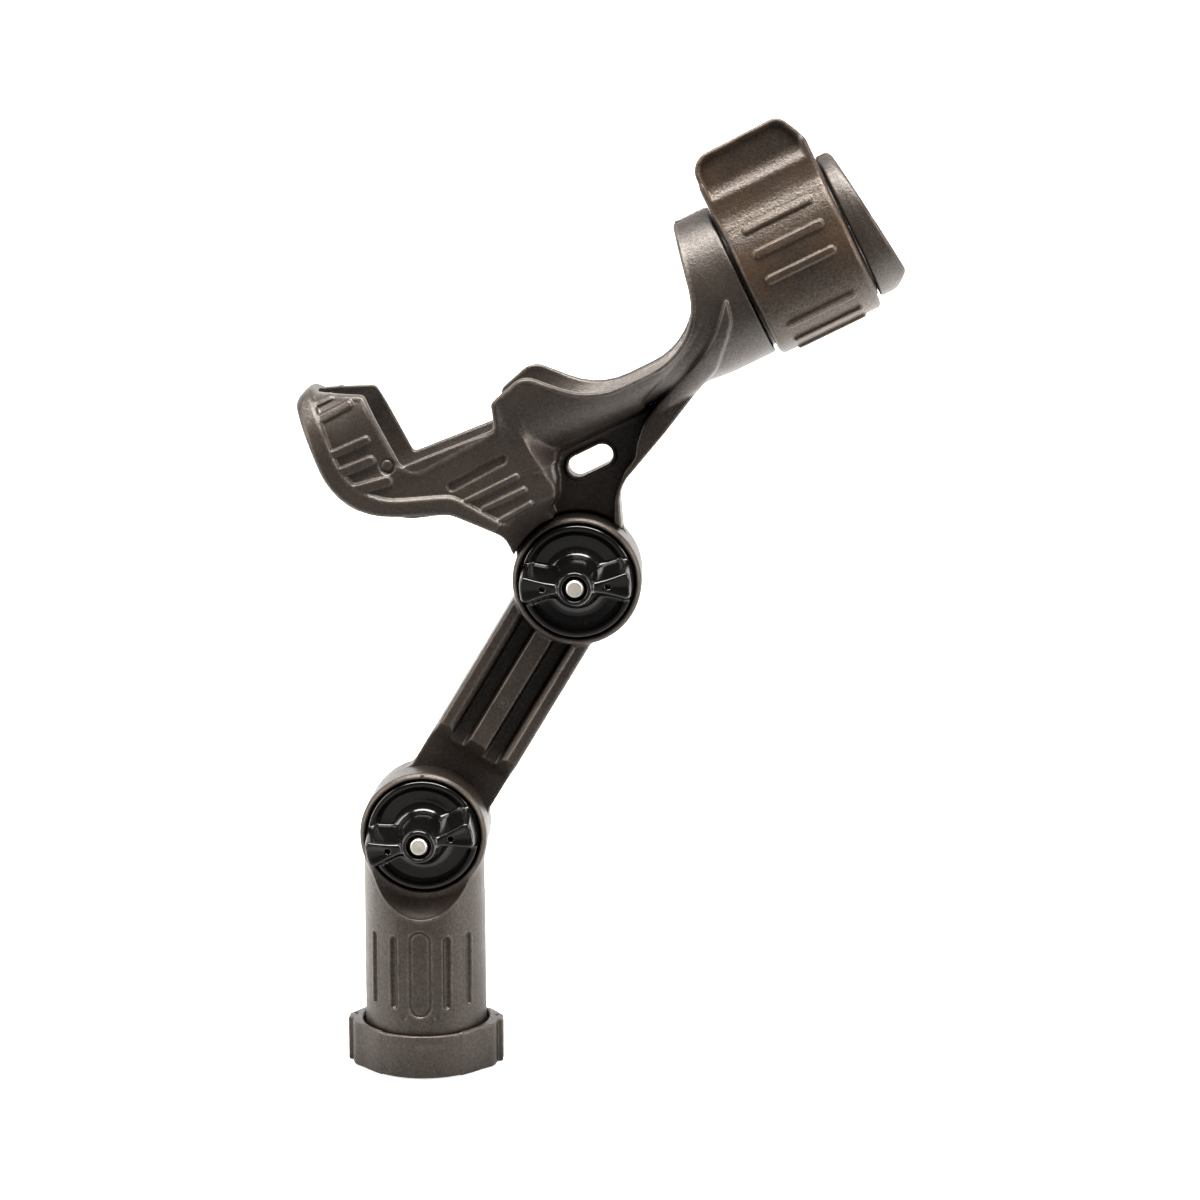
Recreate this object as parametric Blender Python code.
"""Rod holder on a two-knuckle arm: base socket with a turning lock collar, a
four-inch extension arm between two toothed knuckles with wing knobs, and a rod
cradle with a rear butt loop and a turning lock ring at its +X end.

Lengths are in millimetres and are brought to metres in put().
+Z is up, +X is the way the rod points, -Y is the knob side. On the base, arm and
knuckles "front" is -Y and "back" is +Y. The origin is the centre of the flat seat
inside the base socket, where the top of a mounting post bears.
Cutters run well past what they cut, so their free ends are round numbers.
"""

import math

import bmesh
import bpy
from mathutils import Matrix, Vector

for old in list(bpy.data.objects):
    bpy.data.objects.remove(old, do_unlink=True)

# ---------------------------------------------------------------- dimensions
SIDES = 48                  # sides of a round piece
SMALL_SIDES = 24            # sides of bolts and their holes
RING_SIDES = 64             # sides of the lock ring
GAP = 0.3                   # clearance between pieces that touch

# base socket and lock collar
SOCKET_DEPTH = 52.0         # seat to the lower edge of the collar
TUBE_R = 20.7               # base tube, outside
SOCKET_R = 17.4             # base tube, bore
SEAT_R = 12.0               # raised flat seat at the top of the bore
SEAT_STEP = 1.2             # top of the bore above the seat
TUBE_BOTTOM = -49.0
COLLAR_R = 23.0
COLLAR_BORE_R = 21.15
COLLAR_TOP = -37.0
COLLAR_LIP_TOP = -49.4      # lip below the tube's lower edge
COLLAR_FIN_R = 26.4         # thin grip fins at both sides
SNAP_RING_Z = -40.8
O_RING_Z = -45.7

# knuckles
LOWER_PIVOT = (0.8, 0, 30.4)
ARM_PITCH = 101.6           # 4 in between the knuckles
ARM_ANGLE = 59.2            # degrees above +X
BOSS_R = 21.5               # front half of a knuckle
BOSS_FRONT = -13.0
RECESS_R = 19.6             # knob recess in the front half
RECESS_FLOOR = -5.5
DISC_R = 21.3               # rear half of a knuckle
DISC_BACK = 12.6
DISC_CHAMFER = 1.2
FACE = GAP / 2              # each toothed face stands this far from y = 0
TEETH = 24
TOOTH_INNER_R, TOOTH_OUTER_R, TOOTH_DEPTH = 11.0, 18.4, 1.0

# extension arm
ARM_WIDTH = 30.6
ARM_FRONT = -11.0
ARM_BACK = DISC_BACK - 1.0
GROOVE_WIDTH = 5.6
GROOVE_X = 6.35             # each groove's centre from the arm's centre line
FRONT_GROOVE_DEPTH = 7.0
BACK_GROOVE_FLOOR = 3.0

# bolts and knobs
BOLT_R = 3.05               # 1/4 in bolt
BOLT_HOLE_R = 3.45
HEX_WIDTH = 11.1            # across the flats
HEX_POCKET_WIDTH = 11.8
HEX_BACK, HEX_FRONT = 12.2, 8.1
BOLT_END = -27.6
WASHER_R = 6.6
INSERT_R = 4.6
KNOB_R = 18.9
KNOB_BACK = -7.0
KNOB_RIM = -13.3
KNOB_FLOOR = -11.4
KNOB_TOP = -28.0
WING_TOP = -26.2

# cradle; x runs along the rod in its own frame, z square to it
ROD_TILT = 26.2             # rod axis above +X, degrees
RING_CENTRE = (123.6, 0, 226.2)
TROUGH_R = 26.0
TROUGH_BORE_R = 22.7
WALL_Y = 22.0               # outer faces of the flat side walls
WALL_THICKNESS = 3.0
BEAD_Y = WALL_Y + 1.3       # outer faces of the rear flange
BUTT_BACK, BUTT_FRONT = -178, -104
YOKE_R = 27.2
YOKE_BACK, YOKE_FRONT = -36.0, -19.0
SLEEVE_R = 24.9
SLEEVE_BORE_R = 21.2
SLEEVE_END = 18.9
SLOT_HALF = 9.6             # half width of the slot the rod drops through
RING_R = 29.0
RING_BORE_R = 25.35
RING_HALF = 18.2            # half length
CAP_R = 26.0
CAP_BACK = 19.2
CAP_BLANK_END = 34.0        # end of the cap before its face is cut
SCREW_R = 22.95             # cap screws, distance from the rod axis
SCREW_HEAD_BACK = 23.3
SCREW_PLACES = (            # name, y, z in the rod frame
    ("far", SCREW_R, 0.0),
    ("near", -SCREW_R, 0.0),
    ("bottom", 0.0, -SCREW_R),
)

UPPER_PIVOT = (
    LOWER_PIVOT[0] + ARM_PITCH * math.cos(math.radians(ARM_ANGLE)),
    0,
    LOWER_PIVOT[2] + ARM_PITCH * math.sin(math.radians(ARM_ANGLE)),
)
ROD_FRAME = Matrix.Translation(RING_CENTRE) @ Matrix.Rotation(-math.radians(ROD_TILT), 4, "Y")


def in_rod_frame(point):
    """A point on y = 0 taken to the rod frame, whose origin is the ring's centre."""
    x, z = point[0] - RING_CENTRE[0], point[2] - RING_CENTRE[2]
    cosine, sine = math.cos(math.radians(ROD_TILT)), math.sin(math.radians(ROD_TILT))
    return x * cosine + z * sine, 0, -x * sine + z * cosine


CRADLE_PIVOT = in_rod_frame(UPPER_PIVOT)

# cradle outlines in the rod frame: (x, z, corner radius)
UPPER_EDGE = [
    (-31.2, 28.6, 1.0), (-39.4, -13.8, 28.0), (-79.0, -13.8, 26.0),
    (-95.8, 3.8, 7.0), (-109.8, 0.0, 2.0), (-113.0, -9.0, 3.0),
    (-145.2, -10.3, 6.0), (-146.3, 20.2, 2.0), (-161.0, 27.5, 0.5),
]
REAR_EDGE = [
    (-162.6, 30.8, 1.5), (-168.6, 28.0, 4.0), (-171.3, -12.6, 33.0), (-138.2, -26.8, 12.0),
]
WALL_OUTLINE = UPPER_EDGE + REAR_EDGE + [
    (-120.0, -28.0, 1.0), (YOKE_FRONT, -28.0, 1.0), (YOKE_FRONT, 28.0, 1.0),
]
BLOCK_OUTLINE = [
    (-103.6, -20.0, 1.0), (-150.0, -16.0, 1.0), (-148.0, -22.6, 2.0),
    (-138.2, -26.6, 12.0), (-125.8, -41.0, 9.0), (-125.2, -60.0, 1.0),
    (-104.5, -60.0, 1.0), (-107.5, -42.0, 3.0), (-102.8, -33.0, 3.0),
]
BEAD_OUTLINE = REAR_EDGE + [
    (-125.6, -41.0, 9.0), (-125.0, -48.0, 1.0), (-119.6, -48.0, 1.0), (-119.8, -42.0, 5.0),
    (-134.6, -21.6, 9.0), (-165.0, -9.8, 25.0), (-162.4, 24.5, 3.0),
]
WEB_OUTLINE = [
    (-46.0, -24.0, 1.0), (-104.5, -22.0, 1.0), (-110.0, -42.0, 1.0), (-124.0, -60.0, 1.0),
    (CRADLE_PIVOT[0], CRADLE_PIVOT[2], 0.0),
    (-91.5, -60.0, 1.0), (-86.2, -45.2, 12.0), (-41.0, -23.8, 1.0),
]
FLANGE_OUTLINE = [
    (-36.0, -21.0, 1.0), (-40.0, -23.2, 2.0), (-85.6, -44.7, 12.0), (-90.8, -58.0, 1.0),
    (-97.5, -54.0, 1.0), (-90.5, -41.0, 10.0), (-62.0, -26.2, 6.0), (-40.0, -15.5, 1.0),
]
WINDOW_OUTLINE = [
    (-98.2, -36.4, 3.5), (-98.2, -29.3, 3.5), (-82.6, -29.3, 3.5), (-82.6, -36.4, 3.5),
]


# ------------------------------------------------------------------ outlines
def rounded(corners, max_steps=5):
    """A closed outline with each corner (x, z, radius) turned into an arc."""
    outline = []
    for i, (x, z, radius) in enumerate(corners):
        corner = Vector((x, z))
        back = Vector(corners[i - 1][:2]) - corner
        ahead = Vector(corners[(i + 1) % len(corners)][:2]) - corner
        back_length, ahead_length = back.length, ahead.length
        back, ahead = back / back_length, ahead / ahead_length
        half_angle = math.acos(max(-1, min(1, back.dot(ahead)))) / 2
        # tiny radii and nearly straight corners stay as points
        if radius < 0.3 or half_angle > math.radians(88):
            outline.append((x, z))
            continue
        # the arc takes up less than half of either side
        setback = min(radius / math.tan(half_angle), back_length * 0.48, ahead_length * 0.48)
        radius = setback * math.tan(half_angle)
        centre = corner + (back + ahead).normalized() * (radius / math.sin(half_angle))
        start = corner + back * setback - centre
        end = corner + ahead * setback - centre
        sweep = math.atan2(
            start.x * end.y - start.y * end.x, start.x * end.x + start.y * end.y
        )
        steps = max(1, min(max_steps, round(abs(sweep) / math.radians(14))))
        for k in range(steps + 1):
            cosine, sine = math.cos(sweep * k / steps), math.sin(sweep * k / steps)
            outline.append((
                centre.x + start.x * cosine - start.y * sine,
                centre.y + start.x * sine + start.y * cosine,
            ))
    return outline


def upright_slot(x, width, low, high, low_radius, high_radius, max_steps):
    """A rounded rectangle centred on x, with its own radius at each end."""
    left, right = x - width / 2, x + width / 2
    return rounded(
        [(left, low, low_radius), (right, low, low_radius),
         (right, high, high_radius), (left, high, high_radius)],
        max_steps,
    )


def stadium(half, low, high, steps=16):
    """A section in y, z with flat sides at y = +-half and round ends at low and high."""
    section = []
    for first_angle, centre_z in ((math.pi, low + half), (0.0, high - half)):
        for k in range(steps + 1):
            angle = first_angle + math.pi * k / steps
            section.append((half * math.cos(angle), centre_z + half * math.sin(angle)))
    return section


# -------------------------------------------------------------------- solids
def solid(build):
    """An object from a bmesh, with its faces pointing out."""
    bmesh.ops.recalc_face_normals(build, faces=build.faces)
    if build.calc_volume(signed=True) < 0:
        bmesh.ops.reverse_faces(build, faces=build.faces)
    mesh = bpy.data.meshes.new("piece")
    build.to_mesh(mesh)
    build.free()
    piece = bpy.data.objects.new("piece", mesh)
    bpy.context.collection.objects.link(piece)
    return piece


def prism(outline, start, end):
    """An outline in x, z extruded in y from start to end."""
    build = bmesh.new()
    near = [build.verts.new((x, start, z)) for x, z in outline]
    far = [build.verts.new((x, end, z)) for x, z in outline]
    build.faces.new(near)
    build.faces.new(far)
    for i in range(len(outline)):
        j = (i + 1) % len(outline)
        build.faces.new((near[i], near[j], far[j], far[i]))
    return solid(build)


def box(low, high):
    corners = [(low[0], low[2]), (high[0], low[2]), (high[0], high[2]), (low[0], high[2])]
    return prism(corners, low[1], high[1])


def on_axis(axis, across, up, distance):
    """A point at a distance along an axis, offset square to it."""
    return {
        "X": (distance, across, up),
        "Y": (across, distance, up),
        "Z": (across, up, distance),
    }[axis]


def turned(profile, axis="Y", sides=SIDES, phase=0.0):
    """A closed profile of (radius, along) points turned about an axis through the origin.

    phase turns the first vertex, in parts of a side.
    """
    build = bmesh.new()
    rows = []
    for radius, distance in profile:
        if radius < 1e-6:
            rows.append([build.verts.new(on_axis(axis, 0, 0, distance))])
            continue
        row = []
        for k in range(sides):
            angle = 2 * math.pi * (k + phase) / sides
            point = on_axis(axis, radius * math.cos(angle), radius * math.sin(angle), distance)
            row.append(build.verts.new(point))
        rows.append(row)
    for i, row in enumerate(rows):
        following = rows[(i + 1) % len(rows)]
        if len(row) == 1 and len(following) == 1:
            continue
        for k in range(sides):
            j = (k + 1) % sides
            if len(row) == 1:
                build.faces.new((row[0], following[k], following[j]))
            elif len(following) == 1:
                build.faces.new((row[k], following[0], row[j]))
            else:
                build.faces.new((row[k], following[k], following[j], row[j]))
    return solid(build)


def cylinder(axis, radius, start, end, sides=SIDES, centre=(0, 0, 0), phase=0.25):
    piece = turned([(0, start), (radius, start), (radius, end), (0, end)], axis, sides, phase)
    return shift(piece, centre)


def hex_prism(across_flats, start, end, centre=(0, 0, 0)):
    radius = across_flats / 2 / math.cos(math.pi / 6)
    return cylinder("Y", radius, start, end, 6, centre, phase=0)


def hollow(inner, outer, start, end, axis="Y", sides=SIDES, phase=0.0):
    """A plain ring or tube."""
    profile = [(outer, start), (outer, end), (inner, end), (inner, start)]
    return turned(profile, axis, sides, phase)


# ------------------------------------------------------------ moves and booleans
def moved(piece, matrix):
    piece.data.transform(matrix)
    if matrix.determinant() < 0:
        piece.data.flip_normals()
    return piece


def shift(piece, offset):
    return moved(piece, Matrix.Translation(offset))


def rotate(piece, degrees, axis):
    return moved(piece, Matrix.Rotation(math.radians(degrees), 4, axis))


def clean_if_closed(mesh):
    """Weld and clean a mesh if that leaves it closed, and say whether it does."""
    build = bmesh.new()
    build.from_mesh(mesh)
    bmesh.ops.remove_doubles(build, verts=build.verts, dist=0.0005)
    bmesh.ops.dissolve_degenerate(build, edges=build.edges, dist=0.0005)
    is_closed = len(build.faces) > 3 and all(len(e.link_faces) == 2 for e in build.edges)
    if is_closed:
        build.to_mesh(mesh)
    build.free()
    return is_closed


def combine(piece, others, operation):
    """Boolean a piece with each of the others in turn: exact, or manifold where exact fails."""
    for other in others:
        for solver in ("EXACT", "MANIFOLD"):
            modifier = piece.modifiers.new("step", "BOOLEAN")
            modifier.operation = operation
            modifier.solver = solver
            modifier.object = other
            graph = bpy.context.evaluated_depsgraph_get()
            mesh = bpy.data.meshes.new_from_object(piece.evaluated_get(graph))
            piece.modifiers.clear()
            if clean_if_closed(mesh):
                break
            if solver == "EXACT":
                bpy.data.meshes.remove(mesh)
        old_mesh = piece.data
        piece.data = mesh
        bpy.data.meshes.remove(old_mesh)
        bpy.data.objects.remove(other, do_unlink=True)
    return piece


def join(piece, *others):
    return combine(piece, others, "UNION")


def cut(piece, *others):
    return combine(piece, others, "DIFFERENCE")


def common(piece, *others):
    return combine(piece, others, "INTERSECT")


# ------------------------------------------------------- materials and placing
MATERIALS = {
    "nylon": dict(colour=(0.035, 0.031, 0.028), roughness=0.50, metallic=0.0),
    "nylon_ring": dict(colour=(0.045, 0.036, 0.030), roughness=0.45, metallic=0.0),
    "knob_gloss": dict(colour=(0.012, 0.012, 0.013), roughness=0.18, metallic=0.0),
    "stainless": dict(colour=(0.62, 0.60, 0.57), roughness=0.30, metallic=1.0),
    "brass": dict(colour=(0.72, 0.52, 0.22), roughness=0.30, metallic=1.0),
    "rubber": dict(colour=(0.02, 0.02, 0.02), roughness=0.75, metallic=0.0),
}


def new_material(name, colour, roughness, metallic):
    material = bpy.data.materials.new(name)
    material.use_nodes = True
    shader = material.node_tree.nodes["Principled BSDF"]
    shader.inputs["Base Color"].default_value = (*colour, 1)
    shader.inputs["Roughness"].default_value = roughness
    shader.inputs["Metallic"].default_value = metallic
    material.diffuse_color = (*colour, 1)
    return material


class Frame:
    """An empty on a joint's axis, with its place in the world in millimetres."""

    def __init__(self, name, place, parent=None):
        self.place = Vector(place)
        self.object = bpy.data.objects.new(name, None)
        bpy.context.collection.objects.link(self.object)
        self.object.empty_display_size = 0.01
        self.object.parent = parent.object if parent else None
        parent_place = parent.place if parent else Vector((0, 0, 0))
        self.object.location = (self.place - parent_place) * 0.001


def put(piece, name, material, frame, origin=None):
    """Name and finish a solid, bring it to metres and hang it on its frame.

    Its origin is the frame's own place unless another is given.
    """
    piece.name = name
    piece.data.name = name
    piece.data.materials.clear()
    piece.data.materials.append(new_material(name + "_" + material, **MATERIALS[material]))
    build = bmesh.new()
    build.from_mesh(piece.data)
    bmesh.ops.remove_doubles(build, verts=build.verts, dist=0.004)
    bmesh.ops.dissolve_degenerate(build, edges=build.edges, dist=0.004)
    bmesh.ops.triangulate(build, faces=build.faces)
    build.to_mesh(piece.data)
    build.free()
    place = frame.place if origin is None else Vector(origin)
    piece.data.transform(Matrix.Translation(-place))
    piece.data.transform(Matrix.Scale(0.001, 4))
    piece.data.shade_smooth()
    piece.data.set_sharp_from_angle(angle=math.radians(32))
    piece.parent = frame.object
    piece.location = (place - frame.place) * 0.001


# ------------------------------------------------------------- knuckle parts
def tooth_cutter(centre, side):
    """Radial V grooves cut into a knuckle face: side +1 cuts into +y, -1 into -y."""
    build = bmesh.new()
    pitch = 2 * math.pi / TEETH
    groove_y = side * (FACE + TOOTH_DEPTH)
    crest_y = side * (FACE + 0.02)
    inner, outer = [], []
    for ring, radius in ((inner, TOOTH_INNER_R), (outer, TOOTH_OUTER_R)):
        for k in range(TEETH):
            for part, y in ((0.0, groove_y), (0.5, crest_y)):
                angle = (k + part) * pitch
                x = centre[0] + radius * math.cos(angle)
                z = centre[2] + radius * math.sin(angle)
                ring.append(build.verts.new((x, y, z)))
    # flat rings on the open side of the face close the cutter
    flat_y = -side * 1.0
    flat_inner = [build.verts.new((v.co.x, flat_y, v.co.z)) for v in inner]
    flat_outer = [build.verts.new((v.co.x, flat_y, v.co.z)) for v in outer]
    for k in range(len(inner)):
        j = (k + 1) % len(inner)
        build.faces.new((inner[k], inner[j], outer[j], outer[k]))
        build.faces.new((flat_inner[k], flat_outer[k], flat_outer[j], flat_inner[j]))
        build.faces.new((inner[k], flat_inner[k], flat_inner[j], inner[j]))
        build.faces.new((outer[k], outer[j], flat_outer[j], flat_outer[k]))
    return solid(build)


def knuckle_disc(centre):
    """The rear half of a knuckle."""
    disc = turned([
        (0, FACE), (DISC_R, FACE), (DISC_R, DISC_BACK - DISC_CHAMFER),
        (DISC_R - DISC_CHAMFER, DISC_BACK), (0, DISC_BACK),
    ])
    return shift(disc, centre)


def knob_recess(centre):
    return cylinder("Y", RECESS_R, -40, RECESS_FLOOR, centre=centre)


def bolt_hole(centre):
    return cylinder("Y", BOLT_HOLE_R, -20, 20, SMALL_SIDES, centre)


def head_pocket(centre):
    return hex_prism(HEX_POCKET_WIDTH, HEX_FRONT - GAP, 30, centre)


# ------------------------------------------------------------ base and collar
FLUTES = (                  # angle, half width, low, high
    (-58, 1.0, -22.0, -1.5),
    (-31, 1.0, -24.0, -2.5),
    (0, 3.2, -26.0, -1.6),
    (25, 1.0, -24.0, -2.5),
    (50, 1.0, -22.0, -1.5),
)
FLUTE_DEPTH = 0.8


def base_tube():
    pivot_z = LOWER_PIVOT[2]
    snap_floor_r, o_ring_floor_r = 19.6, 19.3
    tube = turned(
        [
            (0, pivot_z), (TUBE_R, pivot_z),
            (TUBE_R, SNAP_RING_Z + 1.0), (snap_floor_r, SNAP_RING_Z + 1.0),
            (snap_floor_r, SNAP_RING_Z - 1.0), (TUBE_R, SNAP_RING_Z - 1.0),
            (TUBE_R, O_RING_Z + 1.1), (o_ring_floor_r, O_RING_Z + 1.1),
            (o_ring_floor_r, O_RING_Z - 1.1), (TUBE_R, O_RING_Z - 1.1),
            (TUBE_R, TUBE_BOTTOM), (SOCKET_R, TUBE_BOTTOM), (SOCKET_R, SEAT_STEP),
            (SEAT_R, SEAT_STEP), (SEAT_R, 0), (0, 0),
        ],
        "Z",
    )
    # the tube's back is cut away for the arm's disc
    rear = box((-40, -FACE, pivot_z - 22.6), (40, 40, pivot_z + 40))
    # the tube's front is cut back to the boss by a cone around the pivot
    scoop = turned([(0, BOSS_FRONT), (BOSS_R, BOSS_FRONT), (29.0, -22.5), (29.0, -30), (0, -30)])
    shift(scoop, LOWER_PIVOT)
    piece = cut(tube, rear, scoop)
    piece = join(piece, cylinder("Y", BOSS_R, -FACE, BOSS_FRONT, centre=LOWER_PIVOT, phase=0))
    piece = cut(
        piece, knob_recess(LOWER_PIVOT), bolt_hole(LOWER_PIVOT), tooth_cutter(LOWER_PIVOT, -1)
    )
    # upright grip flutes on the front, then on the back
    for facing in (-180, 0):
        for angle, half, low, high in FLUTES:
            outline = upright_slot(0, 2 * half, low - half, high, half, half, 4)
            flute = shift(prism(outline, -FLUTE_DEPTH, 3.0), (0, TUBE_R, 0))
            piece = cut(piece, rotate(flute, angle + facing, "Z"))
    # key slots along the bore
    for k in range(6):
        slot = box((-1.6, 16.0, TUBE_BOTTOM - 5), (1.6, 18.6, -4.0))
        piece = cut(piece, rotate(slot, 60 * k + 30, "Z"))
    return piece


def lock_collar():
    groove_r, lip_r = 22.05, 18.2
    collar = turned(
        [
            (COLLAR_R, -SOCKET_DEPTH + 0.8), (COLLAR_R, COLLAR_TOP - 1.0),
            (COLLAR_R - 0.7, COLLAR_TOP), (21.9, COLLAR_TOP),
            (COLLAR_BORE_R, COLLAR_TOP - 1.4), (COLLAR_BORE_R, SNAP_RING_Z + 1.1),
            (groove_r, SNAP_RING_Z + 1.1), (groove_r, SNAP_RING_Z - 1.1),
            (COLLAR_BORE_R, SNAP_RING_Z - 1.1), (COLLAR_BORE_R, COLLAR_LIP_TOP),
            (lip_r, COLLAR_LIP_TOP), (lip_r, -SOCKET_DEPTH), (22.2, -SOCKET_DEPTH),
        ],
        "Z",
    )
    fin_outline = rounded(
        [(22.3, -51.8, 0.2), (COLLAR_FIN_R, -51.8, 0.6),
         (COLLAR_FIN_R, -37.4, 1.2), (22.3, -37.1, 0.2)],
        3,
    )
    for angle in (0, 180):
        collar = join(collar, rotate(prism(fin_outline, -1.6, 1.6), angle, "Z"))
    # three lugs reach in from the lip
    for k in range(3):
        lug = box((-3.4, 16.5, -SOCKET_DEPTH + 0.05), (3.4, 18.6, COLLAR_LIP_TOP - 0.05))
        collar = join(collar, rotate(lug, 120 * k, "Z"))
    return collar


def collar_snap_ring():
    """A flat ring, split on the +Y side."""
    low, high, opening = SNAP_RING_Z - 0.6, SNAP_RING_Z + 0.6, 7.0
    ring = hollow(19.9, 21.75, low, high, "Z")
    return cut(ring, box((-opening / 2, 10, low - 1), (opening / 2, 30, high + 1)))


def collar_o_ring():
    ring_r, cord_r, cord_sides = 20.2, 0.72, 6
    profile = []
    for k in range(cord_sides):
        angle = -2 * math.pi * k / cord_sides
        profile.append((ring_r + cord_r * math.cos(angle), O_RING_Z + cord_r * math.sin(angle)))
    return turned(profile, "Z", 36)


# ------------------------------------------------------------- extension arm
def extension_arm():
    """Built upright along +Z from the lower pivot at the origin, then leaned over."""
    bottom, top = (0, 0, 0), (0, 0, ARM_PITCH)
    half = ARM_WIDTH / 2
    bar = box((-half, ARM_FRONT, 0), (half, ARM_BACK, ARM_PITCH))
    # the lower end clears the base's boss by a ramp, drawn as (z, y) and run along x
    clear_top, ramp_top = 22.0, 36.0
    low_cut = box((-40, -30, -30), (40, FACE, clear_top + 0.2))
    ramp = moved(
        prism(
            [(clear_top, FACE), (ramp_top, ARM_FRONT - 0.01), (ramp_top, -30), (clear_top, -30)],
            -30, 30,
        ),
        Matrix(((0, 1, 0, 0), (0, 0, 1, 0), (1, 0, 0, 0), (0, 0, 0, 1))),
    )
    # the upper end clears the cradle's disc
    disc_relief = cylinder("Y", DISC_R + 1.0, -FACE, 30, centre=top)
    top_cut = box((-40, -FACE, ARM_PITCH), (40, 30, ARM_PITCH + 40))
    bar = cut(bar, low_cut, ramp, disc_relief, top_cut)
    upper_boss = cylinder("Y", BOSS_R, BOSS_FRONT, -FACE, centre=top, phase=0)
    bar = join(bar, knuckle_disc(bottom), upper_boss)
    # two grooves leave two flanges and a centre rib, on the front and on the back
    for x in (-GROOVE_X, GROOVE_X):
        front = upright_slot(x, GROOVE_WIDTH, 24.0, ARM_PITCH - 19.0, 2.0, 1.0, 3)
        back = upright_slot(x, GROOVE_WIDTH, 27.0, ARM_PITCH - 27.0, 2.0, 2.0, 3)
        bar = cut(
            bar,
            prism(front, -40, ARM_FRONT + FRONT_GROOVE_DEPTH),
            prism(back, BACK_GROOVE_FLOOR, 30),
        )
    bar = cut(
        bar, knob_recess(top), bolt_hole(top), bolt_hole(bottom), head_pocket(bottom),
        tooth_cutter(top, -1), tooth_cutter(bottom, 1),
    )
    rotate(bar, 90 - ARM_ANGLE, "Y")
    return shift(bar, LOWER_PIVOT)


# ---------------------------------------------------------- knobs and bolts
WING_OUTLINE = [            # x, z
    (3.0, -3.2), (9.5, -3.6), (17.9, -5.6), (18.7, -2.8), (18.85, 0),
    (18.7, 2.8), (17.9, 5.6), (9.5, 3.6), (3.0, 3.2),
]


def bolt():
    shank = cylinder("Y", BOLT_R, BOLT_END, HEX_FRONT + 1.0, SMALL_SIDES)
    tip_y = BOLT_END - 0.6
    tip = turned(
        [(0, tip_y), (2.4, tip_y), (BOLT_R, BOLT_END), (0, BOLT_END + 0.5)], "Y", SMALL_SIDES
    )
    head = hex_prism(HEX_WIDTH, HEX_FRONT, HEX_BACK)
    return join(head, join(shank, tip))


def washer():
    return hollow(BOLT_HOLE_R, WASHER_R, RECESS_FLOOR - GAP, KNOB_BACK + GAP, sides=32)


def knob(angle):
    """Dished disc with a coned hub and two tall bow-tie wings."""
    body = turned([
        (0, KNOB_BACK), (KNOB_R - 0.5, KNOB_BACK), (KNOB_R, KNOB_BACK - 0.5),
        (KNOB_R, KNOB_RIM + 0.4), (KNOB_R - 0.4, KNOB_RIM), (KNOB_R - 1.3, KNOB_RIM),
        (KNOB_R - 1.7, KNOB_FLOOR), (9.6, KNOB_FLOOR), (7.6, -15.0), (6.4, -21.0),
        (5.8, KNOB_TOP + 0.6), (5.2, KNOB_TOP), (0, KNOB_TOP),
    ])
    for side in (0, 180):
        wing = prism(WING_OUTLINE, KNOB_FLOOR + 0.6, WING_TOP)
        # the wing is thinner and a little shorter at its top
        for vertex in wing.data.vertices:
            if vertex.co.y < WING_TOP + 0.1:
                vertex.co.z *= 0.72
                vertex.co.x = min(vertex.co.x, 18.3)
        body = join(body, rotate(wing, side, "Y"))
    bore = cylinder("Y", 4.9, KNOB_TOP + 4.0, 0, SMALL_SIDES)
    mouth = cylinder("Y", 3.9, -40, 0, SMALL_SIDES)
    return rotate(cut(body, bore, mouth), angle, "Y")


def knob_insert():
    return hollow(BOLT_R + 0.3, INSERT_R, KNOB_BACK - 0.1, KNOB_TOP + 4.3, sides=SMALL_SIDES)


# ------------------------------------------------------------------- cradle
# The pieces from here on are built in the rod frame and moved by ROD_FRAME.
def channel(section, start, end):
    """A section in y, z run along the rod from start to end."""
    swap_x_and_y = Matrix(((0, 1, 0, 0), (1, 0, 0, 0), (0, 0, 1, 0), (0, 0, 0, 1)))
    return moved(prism(section, start, end), swap_x_and_y)


def bottom_strip(inner, outer, half_length, half_width):
    """A curved strip at the bottom of a ring around the rod axis."""
    ring = hollow(inner, outer, -half_length, half_length, "X", phase=0.5)
    return common(ring, box((-10, -half_width, -40), (10, half_width, -15)))


def cradle_shell():
    """Butt channel, trough and yoke, not yet hollow, trimmed to the side outline."""
    butt = channel(stadium(WALL_Y, -27.6, 31.0), BUTT_BACK, BUTT_FRONT)
    trough = cylinder("X", TROUGH_R, -108.5, YOKE_FRONT - 0.5)
    yoke = cylinder("X", YOKE_R, YOKE_BACK, YOKE_FRONT)
    return common(join(butt, trough, yoke), prism(rounded(WALL_OUTLINE), -32, 32))


def cradle_bead():
    """Rounded flange along the rear and underside."""
    keep = channel(stadium(BEAD_Y, -60.0, 32.0), BUTT_BACK, BUTT_FRONT)
    return common(prism(rounded(BEAD_OUTLINE), -BEAD_Y, BEAD_Y), keep)


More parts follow.
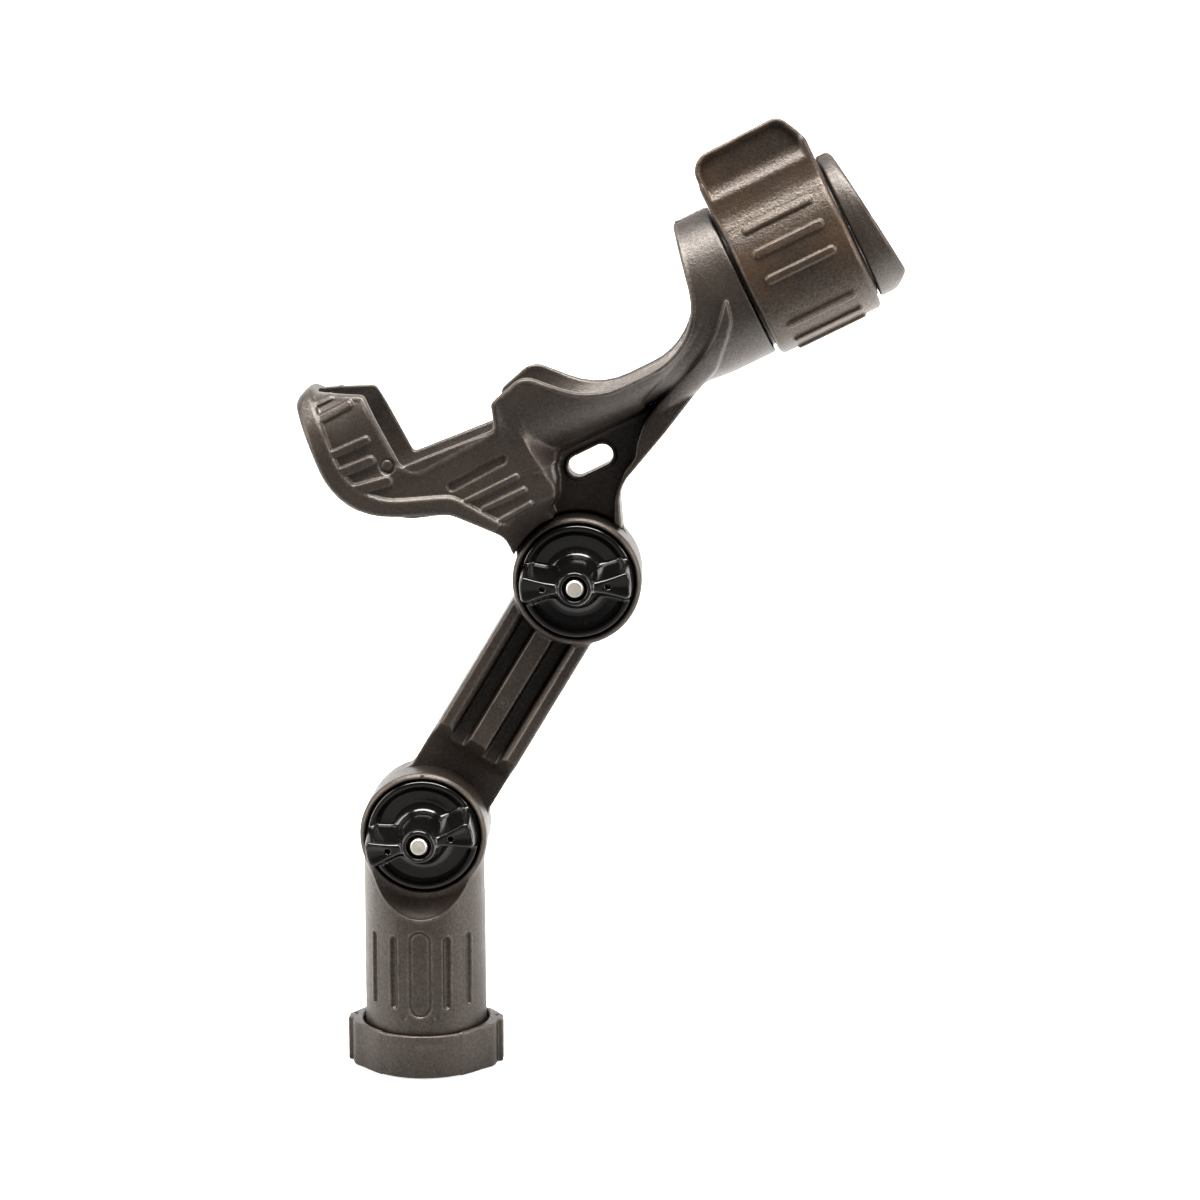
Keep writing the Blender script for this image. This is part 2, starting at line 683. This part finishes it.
def cradle():
    # block under the butt channel, running down to the knuckle
    block = prism(rounded(BLOCK_OUTLINE), -WALL_Y + 1.0, WALL_Y - 1.0)
    # web between trough and knuckle, with a wider flange along its lower edge
    web = prism(rounded(WEB_OUTLINE), -3.0, 6.0)
    flange = prism(rounded(FLANGE_OUTLINE), -9.5, 9.5)
    body = join(cradle_shell(), block, cradle_bead(), web, flange)
    # room for the arm's boss in front of the knuckle disc, and a flat behind it
    body = cut(
        body,
        cylinder("Y", BOSS_R + 1.0, -40, FACE, centre=CRADLE_PIVOT),
        cylinder("Y", DISC_R + 4.0, DISC_BACK, 40, centre=CRADLE_PIVOT),
    )
    sleeve = cylinder("X", SLEEVE_R, YOKE_FRONT - 2.0, SLEEVE_END)
    body = join(body, sleeve, knuckle_disc(CRADLE_PIVOT))
    # the way the rod lies: flat-sided butt channel, round trough, sleeve bore and slot
    body = cut(
        body,
        channel(stadium(WALL_Y - WALL_THICKNESS, -TROUGH_BORE_R, 27.6), -180, -110),
        cylinder("X", TROUGH_BORE_R, -116, YOKE_FRONT - 3.0),
        cylinder("X", SLEEVE_BORE_R, -30, 40),
        box((-33, -SLOT_HALF, 0), (40, SLOT_HALF, 60)),
    )
    # window in the web, then the knuckle's hole, pocket and teeth
    body = cut(
        body,
        prism(rounded(WINDOW_OUTLINE), -20, 20),
        bolt_hole(CRADLE_PIVOT),
        head_pocket(CRADLE_PIVOT),
        tooth_cutter(CRADLE_PIVOT, 1),
    )
    # pilot holes for the cap screws, and the leaf spring's seat
    for _, y, z in SCREW_PLACES:
        body = cut(body, cylinder("X", 1.0, 8.0, 40, 12, (0, y, z)))
    body = cut(body, bottom_strip(inner=23.9, outer=30, half_length=4.5, half_width=9.0))
    return moved(body, ROD_FRAME)


def ring_leaf_spring():
    """A short sprung strip that rubs on the ring's bore and holds it where it is turned."""
    strip = bottom_strip(inner=24.25, outer=24.75, half_length=3.8, half_width=8.2)
    return moved(strip, ROD_FRAME)


# ---------------------------------------------------- lock ring and end cap
GRIP_ANGLES = (-25, -6, 12, 47, 65, 83)     # degrees below the side of the ring
TAB_OUTLINE = [             # x, z, corner radius
    (-18.1, 20.0, 1.0), (-18.5, 41.4, 6.5), (13.6, 42.0, 5.0),
    (18.1, 33.5, 6.0), (18.1, 20.0, 1.0),
]
CAP_FACE_OUTLINE = [        # x, z
    (23.8, 40.0), (24.0, 24.0), (29.8, -21.0), (26.2, -24.6),
    (25.0, -40.0), (60.0, -40.0), (60.0, 40.0),
]


def lock_ring():
    ring = turned(
        [
            (RING_BORE_R, -RING_HALF), (RING_R - 1.6, -RING_HALF),
            (RING_R - 0.5, -RING_HALF + 0.6), (RING_R, -RING_HALF + 1.8),
            (RING_R, RING_HALF - 1.8), (RING_R - 0.5, RING_HALF - 0.6),
            (RING_R - 1.6, RING_HALF), (RING_BORE_R, RING_HALF),
        ],
        "X", RING_SIDES,
    )
    # raised grip bars, two groups of three on each side
    for mirrored in (False, True):
        for angle in GRIP_ANGLES:
            bar = box((-12.2, -RING_R - 0.8, -1.1), (12.2, -RING_R + 0.8, 1.1))
            rotate(bar, angle, "X")
            if mirrored:
                moved(bar, Matrix.Scale(-1, 4, (0, 1, 0)))
            ring = join(ring, bar)
    # thumb tab: a plate standing up beside the slot's -Y edge
    ring = join(ring, prism(rounded(TAB_OUTLINE), -20.4, -15.4))
    slot_half = SLOT_HALF + 0.4
    ring = cut(
        ring,
        box((-40, -slot_half, 0), (40, slot_half, 60)),
        cylinder("X", RING_BORE_R, -30, 30, RING_SIDES),
    )
    return moved(ring, ROD_FRAME)


def end_cap():
    cap = turned(
        [(0, CAP_BACK), (CAP_R - 0.6, CAP_BACK), (CAP_R, CAP_BACK + 0.6),
         (CAP_R, CAP_BLANK_END), (0, CAP_BLANK_END)],
        "X",
    )
    # the face slants: it stands further out at the bottom than at the top
    cap = cut(
        cap,
        prism(CAP_FACE_OUTLINE, -40, 40),
        cylinder("X", SLEEVE_BORE_R, 0, 60),
        box((0, -SLOT_HALF, 0), (60, SLOT_HALF, 60)),
    )
    # a hole for each screw, counterbored for its head
    for _, y, z in SCREW_PLACES:
        cap = cut(
            cap,
            cylinder("X", 1.35, 10.0, 60, 12, (0, y, z)),
            cylinder("X", 1.9, SCREW_HEAD_BACK - GAP, 60, 16, (0, y, z)),
        )
    return moved(cap, ROD_FRAME)


def cap_screw(y, z):
    shank_r, head_r = 0.7, 1.6
    screw = turned(
        [(0, 9.0), (shank_r, 9.6), (shank_r, 22.0), (shank_r, SCREW_HEAD_BACK),
         (head_r, SCREW_HEAD_BACK), (head_r, 24.2), (1.2, 24.6), (0, 24.6)],
        "X", 12,
    )
    return moved(shift(screw, (0, y, z)), ROD_FRAME)


# ----------------------------------------------------------------- assembly
def knob_place(pivot):
    return pivot[0], KNOB_BACK, pivot[2]


base_frame = Frame("base_frame", (0, 0, 0))
collar_frame = Frame("collar_frame", (0, 0, (COLLAR_TOP - SOCKET_DEPTH) / 2), base_frame)
arm_frame = Frame("arm_frame", LOWER_PIVOT, base_frame)
lower_knob_frame = Frame("lower_knob_frame", knob_place(LOWER_PIVOT), base_frame)
cradle_frame = Frame("cradle_frame", UPPER_PIVOT, arm_frame)
upper_knob_frame = Frame("upper_knob_frame", knob_place(UPPER_PIVOT), arm_frame)
ring_frame = Frame("ring_frame", RING_CENTRE, cradle_frame)

put(base_tube(), "base_tube", "nylon", base_frame)
put(lock_collar(), "lock_collar", "nylon", collar_frame)
put(collar_snap_ring(), "collar_snap_ring", "stainless", base_frame, (0, 0, SNAP_RING_Z))
put(collar_o_ring(), "collar_o_ring", "rubber", base_frame, (0, 0, O_RING_Z))
put(extension_arm(), "extension_arm", "nylon", arm_frame)

# level, pivot, frame that holds the bolt, knob's frame, bolt angle, knob angle
for level, pivot, bolt_frame, knob_frame, bolt_angle, knob_angle in (
    ("lower", LOWER_PIVOT, arm_frame, lower_knob_frame, 90 - ARM_ANGLE, -12),
    ("upper", UPPER_PIVOT, cradle_frame, upper_knob_frame, -ROD_TILT, -3),
):
    level_bolt = shift(rotate(bolt(), bolt_angle, "Y"), pivot)
    put(level_bolt, level + "_bolt", "stainless", bolt_frame)
    put(shift(washer(), pivot), level + "_washer", "stainless", knob_frame)
    put(shift(knob(knob_angle), pivot), level + "_knob", "knob_gloss", knob_frame)
    put(shift(knob_insert(), pivot), level + "_knob_insert", "brass", knob_frame)

put(cradle(), "cradle", "nylon", cradle_frame)
put(ring_leaf_spring(), "ring_leaf_spring", "stainless", cradle_frame, RING_CENTRE)
put(lock_ring(), "lock_ring", "nylon_ring", ring_frame)
put(end_cap(), "end_cap", "nylon", cradle_frame, RING_CENTRE)
for name, y, z in SCREW_PLACES:
    head = ROD_FRAME @ Vector((24.0, y, z))
    put(cap_screw(y, z), "cap_screw_" + name, "stainless", cradle_frame, head)
